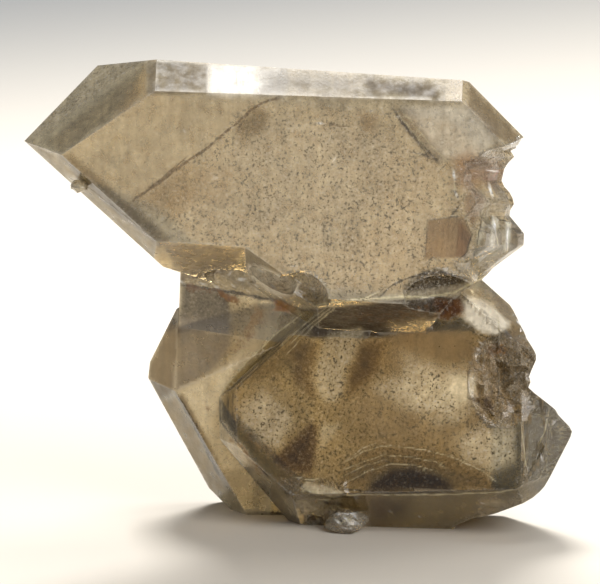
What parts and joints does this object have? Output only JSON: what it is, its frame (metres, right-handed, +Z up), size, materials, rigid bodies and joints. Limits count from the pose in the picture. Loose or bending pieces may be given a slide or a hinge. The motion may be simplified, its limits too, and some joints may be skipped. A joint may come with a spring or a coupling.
{
  "type": "smoky quartz crystal cluster",
  "caption": "Smoky quartz: a tabular doubly terminated crystal across a darker clear one and a small side crystal, with broken right ends and rust stains.",
  "frame": {"origin": "under the middle of the cluster's box, on the surface it stands on", "axes": "+Z up, +X along the crystals to their broken right ends, -Y to the front"},
  "size_m": [0.0548, 0.0216, 0.0487],
  "materials": {
    "quartz": "clear to hazy smoky brown, natural faces"
  },
  "bodies": {
    "root": {"quartz_cluster": "quartz"}
  },
  "joints": []
}
